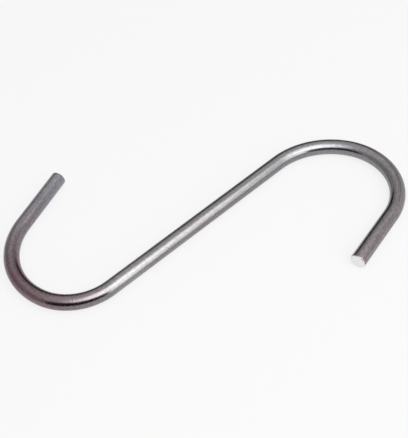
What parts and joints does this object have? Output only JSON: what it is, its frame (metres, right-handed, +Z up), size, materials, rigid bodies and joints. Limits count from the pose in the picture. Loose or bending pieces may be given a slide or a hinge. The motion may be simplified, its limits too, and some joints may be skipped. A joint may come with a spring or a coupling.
{
  "type": "s hook",
  "caption": "Round steel rod bent into an open S hook, a rounded hook at each end of a straight shank, with square-cut tips.",
  "frame": {"origin": "under the middle of the hook's box, on the surface the hook lies on", "axes": "+X along the straight shank, +Z up off the surface; the hook at -X curls to +Y and the hook at +X curls to -Y"},
  "size_m": [0.1406, 0.119, 0.006],
  "materials": {
    "zinc_plated_steel": "thin bright plating on drawn rod, satin to glossy, with fine grain, faint drawing lines along it, and a tint that drifts from bluish to a dull pink on the left bend"
  },
  "bodies": {
    "root": {"hook_rod": "zinc_plated_steel"}
  },
  "joints": []
}
